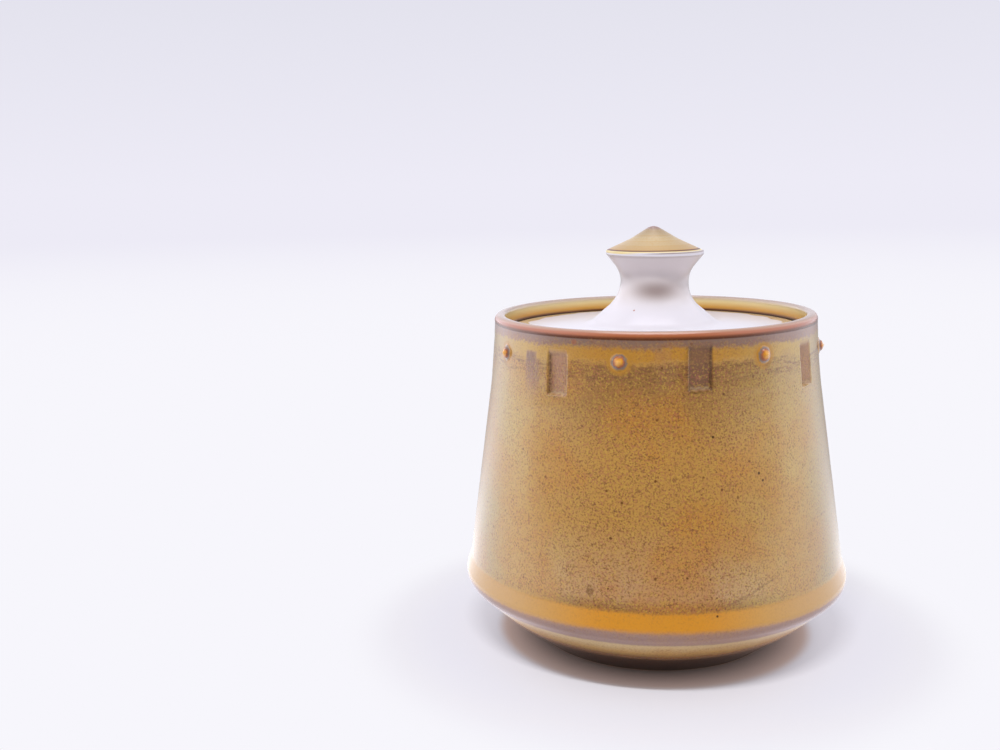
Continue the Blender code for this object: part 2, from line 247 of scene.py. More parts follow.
# The glazes and the clay, each with its colour and where it lies
GLAZES = {
    "mustard": ("BE8E46", "Ground colour of the wall"),
    "amber": ("C28234", "Warm clouds in the wall's glaze"),
    # Over the flanks, partly glaze colour and partly painted sheen; at the very sides, painted shade
    "ochre": ("CCB068", "Yellower glaze on the jar's flanks"),
    "moss": ("A48E5C", "Duller glaze at the very sides"),
    "light": ("CCA648", "Yellow grain through the wall's glaze"),
    "red_grain": ("A4604C", "Reddish grain through the wall's glaze"),
    "olive": ("7C5630", "Dark grain through the wall's glaze"),
    "fringe": ("98703C", "Where brown grain gathers, over the belly and the neck"),
    "speck": ("6E4634", "Dark iron specks"),
    "gold": ("BC8632", "Clear thin glaze under the rim and round the pellets"),
    "mauve": ("84695C", "Thick glaze under the rim"),
    "rust": ("AC603A", "Thin glaze along the rim's edge"),
    "dark_rust": ("582C18", "Dark line under the rim's edge"),
    # Partly thin glaze and partly a painted highlight along the top of the rim
    "pale_rust": ("C08460", "Upper edge of the rim"),
    "honey": ("E0AA44", "Glaze inside the rim, low down"),
    "butter": ("F2DEA4", "Glaze inside the rim, high up"),
    # Partly glaze and partly a painted reflection of the bright backdrop
    "crest": ("B8A094", "Top of the rim"),
    "band": ("DC952E", "Thin glaze on the band round the belly"),
    # Painted highlight at the tip of each pellet
    "spark": ("F0B45C", "Brightest glaze on the pellets"),
    "smoke": ("8C7666", "Grey ring round the pellets"),
    "low_mauve": ("A2837A", "Thick glaze under the belly's band"),
    "cream": ("DCC08E", "Thin pale glaze under the belly and round the cone"),
    "sand": ("C49B70", "Glaze low on the wall, over the brown fringe"),
    "tan": ("C69D5E", "Glaze under the belly and on the lid's edge"),
    "mark": ("B48A70", "Thick mauve glaze in the pressed rectangles"),
    "brown": ("755036", "Thick brown glaze in the pressed rectangles"),
    # Partly dark glaze and partly painted shade, low under the belly
    "umber": ("3E200E", "Dark glaze round the foot"),
    # Dark glaze gathered thick in corners, used also as painted shade in the marks' corners and as painted
    # shadow in the gap beside the lid
    "pool": ("2A1206", "Dark glaze in corners"),
    "white": ("EBE7F1", "Glaze of the lid and the knob's stem"),
    # Grey painted as shade on the front of the knob's waist and as shadow at the lip of the cone
    "thin_white": ("AC9C9A", "Grey where the white glaze is thin"),
    "straw": ("CBB58E", "Glaze of the knob's cone and the lid's wiped edge"),
    "tip": ("A08480", "Mauve blush at the knob's tip"),
    "inside": ("D8C49A", "Glaze inside the jar"),
    "clay": ("B08E6C", "Unglazed clay of the standing ring"),
}


class SugarJarGlazes(bpy.types.PropertyGroup):
    """Colours of the glazes and the clay."""

    __annotations__ = {name: colour_property(name, *glaze) for name, glaze in GLAZES.items()}


# The studio's colours and what they are for
STUDIO_COLOURS = {
    "floor": ("F7F6FC", "Colour of the floor round the jar"),
    # The warm floor and both glows near the jar are painted light in and round the jar's shadow
    "warm_floor": ("F4E2DC", "Colour of the floor under the jar, warmed by it"),
    "shade": ("EAE9F7", "Glow of the floor in the jar's soft shadow"),
    "warm_shade": ("D0AEA2", "Glow of the floor right under the jar"),
    "horizon": ("EDEBF6", "Colour of the backdrop low down"),
    "sky": ("E4E3EE", "Colour of the backdrop high up"),
}


class SugarJarStudio(bpy.types.PropertyGroup):
    """Colours and light of the plain studio."""

    __annotations__ = {name: colour_property(name, *colour) for name, colour in STUDIO_COLOURS.items()}
    surround: number_property("surround", 0.435, "Strength of the soft light from all round")
    lamp: number_property("lamp", 4.2, "Power of the strip lamp above the front", unit="POWER")
    lamp_width: number_property("lamp_width", 0.30, "Width of the strip lamp", **LENGTH)
    lamp_depth: number_property("lamp_depth", 0.03, "Depth of the strip lamp", **LENGTH)
    lamp_place: FloatVectorProperty(
        name="Lamp Place",
        description="Where the strip lamp hangs, aimed at the jar",
        default=(-0.06, -0.45, 0.78),
        subtype="TRANSLATION",
        unit="LENGTH",
    )


def fill(node, inputs):
    """Links or sets the inputs of a node, given in the node's own order or in a dict by name or number."""
    for key, value in inputs.items() if isinstance(inputs, dict) else enumerate(inputs):
        if isinstance(value, bpy.types.NodeSocket):
            node.id_data.links.new(value, node.inputs[key])
        else:
            node.inputs[key].default_value = value


def add(kind, inputs=(), out=0, stops=None, tree=None, **settings):
    """Adds one node with its settings and links, and gives back one of its outputs.

    It goes into the tree of its first linked input, or into the tree that is given.
    """
    values = inputs.values() if isinstance(inputs, dict) else inputs
    tree = tree or next(value.id_data for value in values if isinstance(value, bpy.types.NodeSocket))
    node = tree.nodes.new("ShaderNode" + kind)
    for name, value in settings.items():
        setattr(node, name, value)
    if stops:
        elements = node.color_ramp.elements
        elements.remove(elements[1])
        elements[0].position = stops[0][0]
        for position, _ in stops[1:]:
            elements.new(position)
        for element, (_, colour) in zip(elements, stops):
            element.color = colour if hasattr(colour, "__len__") else (colour, colour, colour, 1.0)
    fill(node, inputs)
    return node.outputs[out] if node.outputs else None


def new_glaze(name):
    """A material and its Object coordinates."""
    material = bpy.data.materials.new(name)
    material.use_nodes = True
    return material, add("TexCoord", out="Object", tree=material.node_tree)


def fired(material, place, colour, ior, roughness, bump_size, bump_depth):
    """The material with its colour, its shine and faint orange peel, whose bumps are in millimetres."""
    bumps = add("TexNoise", {"Vector": place, "Scale": 1 / (bump_size * MM), "Detail": 1.0})
    normal = add("Bump", {"Height": bumps, "Strength": 1.0, "Distance": bump_depth * MM})
    finish = {"Base Color": colour, "IOR": ior, "Roughness": roughness, "Normal": normal}
    fill(material.node_tree.nodes["Principled BSDF"], finish)
    return material


def height_of(place):
    """The height of each point in millimetres."""
    return add("Math", (add("SeparateXYZ", (place,), out="Z"), 1 / MM), operation="MULTIPLY")


def radius_of(place, stretch=1.0):
    """The distance of each point from the axis in millimetres, stretched along X."""
    flat = add("Mapping", {"Vector": place, "Scale": (stretch / MM, 1 / MM, 0)})
    return add("VectorMath", (flat,), out="Value", operation="LENGTH")


def mottle(place, size, low, high, stretch=(1, 1, 1), detail=2.0):
    """Soft patches about size millimetres across, from 0 up to 1 between the two noise values."""
    spread = add("Mapping", {"Vector": place, "Scale": stretch})
    cloud = add("TexNoise", {"Vector": spread, "Scale": 1 / (size * MM), "Detail": detail})
    return add("MapRange", (cloud, low, high), **SMOOTH)


def specks(place, size, reach, share):
    """Round specks, of radius reach in cells size millimetres across, in this share of the cells."""
    spread = {"Vector": place, "Scale": 1 / (size * MM)}
    distance = add("TexVoronoi", spread, out="Distance")
    chance = add("SeparateColor", (add("TexVoronoi", spread, out="Color"),), out="Red")
    spot = add("MapRange", (distance, reach, reach * 0.5), **SMOOTH)
    chosen = add("Math", (chance, share), operation="LESS_THAN")
    return add("Math", (spot, chosen), operation="MULTIPLY")


def blot(place, centre, size, turn=(0.0, 0.0, 0.0), core=0.5):
    """1 inside an ellipsoid with these half axes, full over its core and fading to 0 at its edge."""
    measures = {"Vector": place, "Location": centre, "Rotation": turn, "Scale": size}
    inside = add("Mapping", measures, vector_type="TEXTURE")
    far = add("VectorMath", (inside,), out="Value", operation="LENGTH")
    return add("MapRange", (far, 1.0, core), **SMOOTH)


def lay_over(ground, *coats):
    """Coats laid over a ground in turn, each a colour and the masks that let it show where all are high."""
    for colour, cover, *masks in coats:
        for mask in masks:
            cover = add("Math", (cover, mask), operation="MULTIPLY", use_clamp=True)
        ground = add("Mix", {0: cover, MIX_A: ground, MIX_B: colour}, out=MIX_RESULT, data_type="RGBA")
    return ground


def bands(height, *stops):
    """Bands of colour or strength, each stop with its height in millimetres. Two like stops make a band."""
    level = add("Math", (height, 1 / RAMP_SPAN), operation="MULTIPLY")
    return add("ValToRGB", (level,), stops=[(stop / RAMP_SPAN, value) for stop, value in stops])


def outside_bands(glazes, edge, flank, side_shade_mask):
    """The bands up the outside. The flanks are yellower than the front, partly glaze colour and partly
    painted sheen, and duller at the very sides, which is painted shade.
    """
    low = add("MapRange", (edge, 18.8, 19.6))
    on_band = add("MapRange", (edge, 24.3, 23.6))
    over_band = add("MapRange", (edge, 23.6, 25.0))
    high = add("MapRange", (edge, 89.9, 89.2))
    upper = add("MapRange", (edge, 88.8, 90.0))
    # Low under the belly, umber and brown are partly glaze and partly painted shade where the wall faces
    # the shadowed floor.
    ground = bands(
        edge,
        (7.0, glazes.umber), (7.7, glazes.brown), (8.8, glazes.brown), (10.7, glazes.tan),
        (13.4, glazes.cream), (14.4, glazes.cream), (15.0, glazes.low_mauve), (18.6, glazes.low_mauve),
        (19.6, glazes.band), (23.4, glazes.band), (24.5, glazes.fringe), (27.5, glazes.sand),
        (46.0, glazes.mustard), (64.0, glazes.mustard), (81.0, glazes.fringe), (84.4, glazes.fringe),
        (85.9, glazes.mustard), (86.7, glazes.gold), (88.8, glazes.gold), (90.0, glazes.mauve),
    )
    return lay_over(
        ground,
        (glazes.ochre, flank, low, high, 0.85),
        (glazes.amber, flank, low, on_band, 0.5),
        (glazes.moss, side_shade_mask, over_band, high, 0.9),
        (glazes.low_mauve, flank, upper, 0.9),
    )


def rim_bands(glazes, height, colour, inner):
    """Over the outside, the rim's level bands and the glaze inside it, down to the wiped ledge."""
    # Near the top of the rim, the pale rust is partly a painted highlight and the crest partly a painted
    # reflection of the bright backdrop.
    rim = bands(
        height,
        (91.85, glazes.dark_rust), (92.05, glazes.dark_rust), (92.45, glazes.rust),
        (92.95, glazes.rust), (93.25, glazes.pale_rust), (93.6, glazes.crest),
    )
    # Inside, the dark band just over the lid's edge is partly glaze gathered thick and partly painted
    # shadow in the gap beside the lid.
    inside = bands(
        height,
        (87.6, glazes.clay), (87.9, glazes.brown), (89.0, glazes.pool), (89.45, glazes.pool),
        (89.8, glazes.dark_rust), (90.05, glazes.amber), (90.7, glazes.honey), (92.4, glazes.butter),
        (93.6, glazes.crest),
    )
    return lay_over(colour, (rim, add("MapRange", (height, 91.4, 91.65))), (inside, inner))


def grain_strength(place, edge, flank, inner):
    """How strongly clouds, grain and specks show: most on the wall, less on the bands and the flanks."""
    strength = bands(
        edge,
        (7.0, 0.0), (8.5, 0.4), (13.0, 0.4), (14.0, 0.2), (19.0, 0.3), (20.0, 0.1),
        (23.4, 0.2), (24.6, 1.0), (28.0, 0.9), (78.0, 0.9), (84.0, 1.0), (86.6, 0.35),
        (89.2, 0.4), (90.0, 0.5), (90.9, 0.4), (91.2, 0.05),
    )
    not_inner = add("Math", (1.0, inner), operation="SUBTRACT")
    uneven = mottle(place, 5.0, 0.30, 0.70, stretch=(1, 1, 1.6), detail=3.0)
    uneven = add("MapRange", (uneven, 0.0, 1.0, 0.7, 1.1))
    calmer = add("Math", (flank, -0.3, 1.0), operation="MULTIPLY_ADD")
    for factor in (not_inner, uneven, calmer):
        strength = add("Math", (strength, factor), operation="MULTIPLY")
    return strength


def pellet_rings(glazes, place, colour, reach):
    """Round each pellet a painted highlight at its tip, an orange core, a mauve ring and a gold halo."""
    wobble = mottle(place, 0.8, 0.2, 0.8)
    reach = add("Math", (wobble, 0.4, reach), operation="MULTIPLY_ADD")
    near = add("Math", (reach, 0.2, -0.03), operation="MULTIPLY_ADD")
    fading = [(0.0, 1.0), (0.50, 1.0), (0.56, 0.6), (0.62, 0.6), (0.74, 0.0)]
    rings = [
        (0.05, glazes.spark), (0.18, glazes.band), (0.27, glazes.rust),
        (0.33, glazes.mauve), (0.38, glazes.smoke), (0.45, glazes.gold),
    ]
    halo = add("ValToRGB", (near,), stops=fading)
    return lay_over(colour, (add("ValToRGB", (near,), stops=rings), halo))


def speckled_glaze(name, glazes):
    """Iron-speckled stoneware glaze, thrown ware dipped once and fired in reduction.

    It breaks orange and rust where it runs thin over edges and pellets, and turns mauve-grey where it
    lies thick in the pressed marks, under the rim and under the belly's band. It shines like satin.
    Highlights are painted on the pellets' tips, the rim's top and the marks' lower steps, and shade in the
    marks, beside the lid, under the belly and at the very sides.
    """
    material, place = new_glaze(name)
    mark, corner, ledge, tone, reach, smudge = (
        add("Attribute", out="Fac", tree=material.node_tree, attribute_name=layer) for layer in WALL_LAYERS
    )
    height = height_of(place)
    # The sides seen from the front: a yellower coat there is partly glaze colour and partly painted sheen,
    # and a duller coat at the very sides is painted shade.
    side = add("Math", (add("SeparateXYZ", (place,), out="X"),), operation="ABSOLUTE")
    flank = add("MapRange", (side, 0.012, 0.042), **SMOOTH)
    side_shade_mask = add("MapRange", (side, 0.035, 0.048), **SMOOTH)
    inner = add("MapRange", (radius_of(place), 43.5, 43.0))
    aloft = add("Math", (height, NECK_FROM), operation="GREATER_THAN")
    inner = add("Math", (inner, aloft), operation="MULTIPLY")

    # The edges of the bands wander, most of all under the rim.
    broad = mottle(place, 7.0, 0.3, 0.7, stretch=(1, 1, 0.6))
    fine = mottle(place, 0.9, 0.3, 0.7)
    wander = add("Math", (add("Math", (broad, fine)), 1.0), operation="SUBTRACT")
    looseness = add("MapRange", (height, 40.0, 86.0, 0.18, 0.75))
    edge = add("Math", (wander, looseness, height), operation="MULTIPLY_ADD")
    colour = outside_bands(glazes, edge, flank, side_shade_mask)
    colour = rim_bands(glazes, height, colour, inner)

    # Brown streaks lie level round the neck, between the pellets and the shoulders of the marks.
    neck = add("MapRange", (height, 80.0, 82.5), **SMOOTH)
    under = add("MapRange", (edge, 86.2, 84.8), **SMOOTH)
    rings = mottle(place, 3.2, 0.44, 0.62, stretch=(1, 1, 4.5), detail=3.0)

    # Thick glaze drags beside the pressed marks and pools in them.
    streaks = mottle(place, 0.6, 0.2, 0.8, stretch=(1, 1, 0.15))
    ragged = mottle(place, 0.7, 0.30, 0.55, detail=4.0)
    floor = lay_over(glazes.mark, (glazes.brown, tone), (glazes.speck, streaks, 0.35))
    strength = grain_strength(place, edge, flank, inner)
    colour = lay_over(
        colour,
        (glazes.amber, mottle(place, 22.0, 0.42, 0.62, detail=3.0), strength, 0.7),
        (glazes.brown, rings, neck, under, 0.6),
        (glazes.mark, smudge, 0.9),
        (glazes.mauve, smudge, smudge, 0.8),
        (glazes.brown, smudge, streaks, 0.5),
        (floor, mark, 0.92),
        (glazes.light, mottle(place, 0.60, 0.50, 0.60, detail=4.0), strength, 0.5),
        (glazes.red_grain, mottle(place, 0.55, 0.50, 0.60, detail=4.0), strength, 0.55),
        (glazes.olive, mottle(place, 0.50, 0.50, 0.64, detail=5.0), strength, 0.75),
        (glazes.speck, specks(place, 1.2, 0.27, 0.42), strength, 0.7),
        (glazes.dark_rust, specks(place, 4.0, 0.12, 0.6), strength, 0.9),
        # The pale step under each mark is partly thin glaze and partly painted highlight; the dark along
        # its sides and under it is partly glaze gathered thick and partly painted shade.
        (glazes.straw, ledge, 0.4),
        (glazes.pool, corner, ragged, 0.8),
        (glazes.speck, blot(place, *SCRATCH), ragged, 0.4),
        (glazes.rust, blot(place, *BLISTER), 0.5),
        (glazes.olive, blot(place, *SMEAR), ragged, 0.8),
        *((glazes.pool, blot(place, centre, (size * MM,) * 3), 0.85) for centre, size in IRON_SPOTS),
    )
    colour = pellet_rings(glazes, place, colour, reach)
    dull = add("Math", (mark, 0.35, 0.2), operation="MULTIPLY_ADD")
    return fired(material, place, colour, ior=1.55, roughness=dull, bump_size=0.8, bump_depth=0.018)


def straw_glaze(name, glazes):
    """Transparent straw-coloured glaze over pale slip, on the cone of the knob, brushed on while it turned.

    Faint rings follow the brush, mauve blushes at the tip, and the sharp edge breaks dark brown.
    """
    material, place = new_glaze(name)
    radius = radius_of(place)
    wander = mottle(place, 3.0, 0.3, 0.7)
    out = add("Math", (wander, 0.2, radius), operation="MULTIPLY_ADD")
    brushed = add("TexNoise", {"Vector": add("CombineXYZ", (out,)), "Scale": 1.1, "Detail": 2.0})
    # Under the dark break at the cone's edge, the pale butter band is partly glaze and partly a painted
    # highlight on the lip, and the grey at the lip is painted shadow.
    breaks = [
        (0.26, glazes.gold), (0.38, glazes.speck), (0.60, glazes.speck), (0.68, glazes.butter),
        (0.84, glazes.butter), (0.90, glazes.white), (0.97, glazes.thin_white),
    ]
    lip = add("ValToRGB", (add("MapRange", (radius, 11.8, 13.8)),), stops=breaks)
    colour = lay_over(
        glazes.straw,
        (glazes.gold, add("MapRange", (out, 7.0, 12.0), **SMOOTH), 0.35),
        (glazes.tan, add("MapRange", (brushed, 0.40, 0.66), **SMOOTH), 0.5),
        (glazes.tan, mottle(place, 0.5, 0.5, 0.7), 0.4),
        (glazes.smoke, add("MapRange", (out, 7.0, 3.0), **SMOOTH), 0.45),
        (glazes.tip, add("MapRange", (out, 3.0, 1.6), **SMOOTH), 0.9),
        (lip, add("MapRange", (radius, 12.2, 12.5))),
        (glazes.white, add("MapRange", (height_of(place), 110.75, 110.6))),
    )
    return fired(material, place, colour, ior=1.36, roughness=0.34, bump_size=1.0, bump_depth=0.012)


def white_glaze(name, glazes):
    """Opaque tin-white glaze with a lilac cast, poured over the lid and wiped back from its edge.

    The wiped edge shows tan with iron specks. The glaze lies smooth and shining as glass. Grey is painted
    across the front of the knob's waist as shade, and under the cone's edge as shadow.
    """
    material, place = new_glaze(name)
    height = height_of(place)
    wander = mottle(place, 5.0, 0.25, 0.75, detail=0.5)
    out = add("Math", (wander, 1.5, radius_of(place, stretch=1.06)), operation="MULTIPLY_ADD")
    wiped = lay_over(
        glazes.straw,
        (glazes.gold, mottle(place, 1.6, 0.4, 0.6), 0.4),
        (glazes.speck, specks(place, 0.9, 0.4, 0.35), 0.6),
    )
    colour = lay_over(
        glazes.white,
        (glazes.cream, add("MapRange", (height, 94.0, 100.0, 0.0, 0.2), **SMOOTH)),
        (wiped, add("MapRange", (out, 39.3, 39.9), **SMOOTH)),
        # Painted shadow under the cone's edge
        (glazes.smoke, add("MapRange", (height, 109.2, 109.9), **SMOOTH), 0.25),
        (glazes.speck, specks(place, 9.0, 0.045, 0.4), 0.7),
        # Painted shade across the front of the knob's waist
        (glazes.thin_white, blot(place, *SHADED_WAIST, core=0.05)),
        (glazes.rust, blot(place, *STEM_SPOT), 0.8),
    )
    return fired(material, place, colour, ior=1.42, roughness=0.26, bump_size=1.4, bump_depth=0.010)


def liner_glaze(name, glazes):
    """Plain straw liner glaze, poured into the jar and out again, with a few iron specks."""
    material, place = new_glaze(name)
    thin = mottle(place, 6.0, 0.35, 0.7, stretch=(1, 1, 2.5))
    spots = specks(place, 1.6, 0.2, 0.5)
    colour = lay_over(glazes.inside, (glazes.tan, thin, 0.35), (glazes.speck, spots, 0.6))
    return fired(material, place, colour, ior=1.55, roughness=0.22, bump_size=1.2, bump_depth=0.012)


def bare_clay(name, glazes):
    """Unglazed fired stoneware on the standing ring, dry, gritty and toasted."""
    material, place = new_glaze(name)
    toast = mottle(place, 5.0, 0.35, 0.65)
    grit = specks(place, 0.9, 0.25, 0.6)
    colour = lay_over(glazes.clay, (glazes.tan, toast, 0.7), (glazes.speck, grit, 0.6))
    return fired(material, place, colour, ior=1.55, roughness=0.85, bump_size=0.5, bump_depth=0.04)


def arc(centre, radius, start, end):
    """Outline points along an arc from one angle to another, in degrees from +radius towards +height."""
    steps = max(2, math.ceil(abs(math.radians(end - start)) / ARC_STEP))
    angles = [math.radians(start + (end - start) * i / steps) for i in range(steps + 1)]
    return [(centre[0] + radius * math.cos(a), centre[1] + radius * math.sin(a), 0) for a in angles]


def turned(outline, columns):
    """A mesh in millimetres, turned about Z from (radius, height, rounding) corners, pole to pole."""
    bm = bmesh.new()
    spots = [bm.verts.new((radius, 0, height)) for radius, height, _ in outline]
    for spot, following in zip(spots, spots[1:]):
        bm.edges.new((spot, following))
    geometry = bm.verts[:] + bm.edges[:]
    bmesh.ops.spin(bm, geom=geometry, axis=(0, 0, 1), angle=math.tau, steps=columns, use_merge=True)
    bmesh.ops.remove_doubles(bm, verts=bm.verts[:], dist=0.001)
    bmesh.ops.recalc_face_normals(bm, faces=bm.faces[:])
    for before, here, after in zip(outline, outline[1:], outline[2:]):
        if here[2]:
            round_ring(bm, before, here, after)
    return bm


def edges_where(bm, wanted):
    """The edges whose two ends are both at a wanted point."""
    ends = {vertex for vertex in bm.verts if wanted(vertex.co)}
    return [edge for edge in bm.edges if edge.verts[0] in ends and edge.verts[1] in ends]


def round_ring(bm, before, here, after):
    """Rounds the ring that one corner of the outline has made."""
    spot = Vector(here[:2])
    half = (Vector(before[:2]) - spot).angle(Vector(after[:2]) - spot) / 2
    ring = edges_where(bm, lambda point: (Vector((point.xy.length, point.z)) - spot).length < RING_REACH)
    offset = here[2] / math.tan(half)
    segments = max(3, math.ceil(math.degrees(math.pi - 2 * half) / CORNER_STEP_DEG))
    shape = {"segments": segments, "profile": 0.5, "affect": "EDGES", "material": -1}
    bmesh.ops.bevel(bm, geom=ring, offset=offset, **shape)


def cut_rows(bm, lowest, highest, spacing, wanted):
    """Cuts level rows, evenly spaced, through the faces whose middle is wanted."""
    count = round((highest - lowest) / spacing)
    for number in range(count + 1):
        height = lowest + (highest - lowest) * number / count
        faces = [f for f in bm.faces if wanted(f.calc_center_median())]
        geometry = set(faces)
        for face in faces:
            geometry.update(face.edges)
            geometry.update(face.verts)
        geometry = list(geometry)
        bmesh.ops.bisect_plane(bm, geom=geometry, dist=0.01, plane_co=(0, 0, height), plane_no=(0, 0, 1))


def placed(name, data):
    """A new object of the scene."""
    thing = bpy.data.objects.new(name, data)
    bpy.context.scene.collection.objects.link(thing)
    return thing


def from_mesh(bm, name, materials):
    """A new object of the scene, made from a mesh in work and its materials."""
    mesh = bpy.data.meshes.new(name)
    bm.to_mesh(mesh)
    bm.free()
    for material in materials:
        mesh.materials.append(material)
    return placed(name, mesh)


def finish_piece(bm, name, materials, body, node, sharp=SHARP_ANGLE):
    """Brings a mesh to metres and hands it to the frame in place of a CAD node."""
    bmesh.ops.scale(bm, vec=(MM, MM, MM), verts=bm.verts[:])
    piece = from_mesh(bm, name, materials)
    piece.data.shade_smooth()
    piece.data.set_sharp_from_angle(angle=sharp)
    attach(piece, body)
    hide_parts(node)


def soft(low, high, value):
    """0 below low, 1 above high and a soft step between."""
    share = min(max((value - low) / (high - low), 0.0), 1.0)
    return share * share * (3 - 2 * share)


def ridge(middle, width, value):
    """1 at the middle, falling softly to 0 about a width away."""
    return math.exp(-(((value - middle) / width) ** 2))


def wall_corners(sizes):
    """The outside of the jar from the rim's crest to the standing ring, in millimetres."""
    rim = sizes.rim_radius / MM
    belly = sizes.belly_radius / MM
    foot = sizes.foot_radius / MM
    crest = sizes.rim_height / MM
    return [
        (rim, crest, 1.8),
        (rim + 0.44, crest - 12.9, 200.0),
        (belly - 1.3, 23.6, 5.0),
        (belly, BELLY_HIGH, 1.5),
        (belly, BELLY_LOW, 3.7),
        (foot + CURVE_OUT, CURVE_UP, 6.0),
        (foot, 0.0, 0.6),
    ]


def jar_corners(sizes):
    """The whole outline of the jar, from the middle of its floor over the rim to the middle underneath."""
    wall = wall_corners(sizes)
    rim, crest, _ = wall[0]
    belly = wall[3][0]
    foot = wall[-1][0]
    inner_rim = rim - sizes.rim_thickness / MM
    ledge = crest - sizes.gallery_depth / MM
    mouth = inner_rim - sizes.gallery_width / MM
    thick = sizes.wall_thickness / MM
    return [
        (0.0, FLOOR_TOP, 0),
        (HUB, FLOOR_TOP, 0),
        (foot, FLOOR_TOP, 6.0),
        (foot + CURVE_OUT, CURVE_UP + thick, 6.0),
        (belly - thick, BELLY_HIGH, 6.0),
        (42.35, ledge - 9.5, 3.0),
        (mouth, ledge - 3.0, 1.5),
        (mouth, ledge, 0.8),
        (inner_rim, ledge, 0.4),
        (inner_rim, crest, 1.1),
        *wall,
        (foot - RING_WIDTH, 0.0, 0.4),
        (foot - RING_WIDTH - 1.1, RECESS_TOP, 0.6),
        (HUB, RECESS_TOP, 0),
        (0.0, RECESS_TOP, 0),
    ]


def wall_radius(sizes, height):
    """The outer radius of the neck and upper wall at a height, with the neck's long soft bend."""
    corners = wall_corners(sizes)
    top, bend, bottom = (Vector(corner[:2]) for corner in corners[:3])
    half = (top - bend).angle(bottom - bend) / 2
    reach = corners[1][2] / math.tan(half)
    start = bend + (top - bend).normalized() * reach
    end = bend + (bottom - bend).normalized() * reach
    if height >= start.y:
        return start.x + (top.x - bend.x) / (top.y - bend.y) * (height - start.y)
    if height <= end.y:
        return end.x + (bottom.x - bend.x) / (bottom.y - bend.y) * (height - end.y)
    toward = ((start - bend).normalized() + (end - bend).normalized()).normalized()
    centre = bend + toward * (reach / math.cos(half))
    return centre.x - math.sqrt(corners[1][2] ** 2 - (height - centre.y) ** 2)


def across(bearing, other, radius):
    """The distance round the wall from one bearing to another, in the unit of the radius."""
    return math.radians((other - bearing + 180) % 360 - 180) * radius


def bearing_of(point):
    """The bearing of a point in degrees, from the front towards the right."""
    return math.degrees(math.atan2(point.x, -point.y))


def dragged(along, up, tall):
    """How thick the glaze lies that was dragged to the left of a mark, with a blob at its top."""
    drag = soft(-12.4, -10.6, along + 0.1 * up) * (1 - soft(-7.0, -5.0, along))
    drag *= 0.8 * (1 - soft(1.0, 4.0, up)) * soft(-tall - 3.5, 0.5, up)
    blob = soft(-11.7, -10.9, along) * (1 - soft(-8.0, -7.1, along))
    blob *= soft(1.2, 2.3, up) * (1 - soft(4.6, 5.3, up))
    return max(drag, blob)


def pressed(sizes, mark, along, up):
    """How deep a mark presses a point beside its middle, and what its glaze does there, by attribute."""
    spot, _, tilt, lean, left, right, brown = mark
    wide = sizes.mark_width / MM / 2
    tall = sizes.mark_tall / MM / 2
    turn = math.radians(tilt)
    along, up = along + up * turn, up - along * turn

    # The floor lies deeper low down and on one side, and lips are pushed up beside it.
    side = soft(-0.25, 0.30, wide - abs(along))
    low = soft(-0.25, 0.25, tall + up)
    high = soft(-0.40, 1.20, tall - up)
    depth = sizes.mark_depth / MM * (0.80 - 0.20 * up / tall) * (1 + lean * along / wide)
    lip = ridge(-0.7, 0.6, wide - abs(along)) * soft(-0.5, 1.5, tall - abs(up))

    # Dark is painted along the sides and under the lower edge, partly glaze gathered thick and partly
    # painted shade, and pale on the step along that edge, partly thin glaze and partly painted highlight.
    between = soft(-0.6, 0.4, tall + up) * soft(-1.2, 0.8, tall - up)
    dark = ridge(-wide + 0.12, 0.26, along) * left + ridge(wide - 0.12, 0.26, along) * right
    wavy = 0.15 * math.sin(along * 3.1 + spot)
    below = ridge(-tall - 0.40 + wavy, 0.24, up) * soft(-0.1, 0.9, wide - abs(along + 0.4))
    smear = ridge(-wide - 0.2, 0.7, along) * between * max(brown - 0.5, 0.0)
    return side * low * high * depth - 0.07 * lip, {
        "mark": side * low * soft(-1.6, 0.8, tall - up),
        "mark_tone": brown,
        "mark_pool_and_shade": max(dark * between, below * (left + right) * 0.5, smear),
        "mark_ledge_and_highlight": ridge(-tall + 0.45 + wavy, 0.35, up) * soft(0.0, 0.6, wide - abs(along)),
        "smudge": dragged(along, up, tall) * (1.0 if spot < 0 else 0.2),
    }


def near_a_mark(point):
    """Whether a point on the neck is close to a mark or a pellet, where finer faces are wanted."""
    if point.z < 74 or point.xy.length < 44.4:
        return False
    bearing = bearing_of(point)
    for places, aside, above in ((MARKS, 4.2, 7.0), (PELLETS, 3.8, 3.8)):
        for spot, level, *_ in places:
            if abs(across(spot, bearing, NECK_RADIUS)) < aside and abs(point.z - level) < above:
                return True
    return False


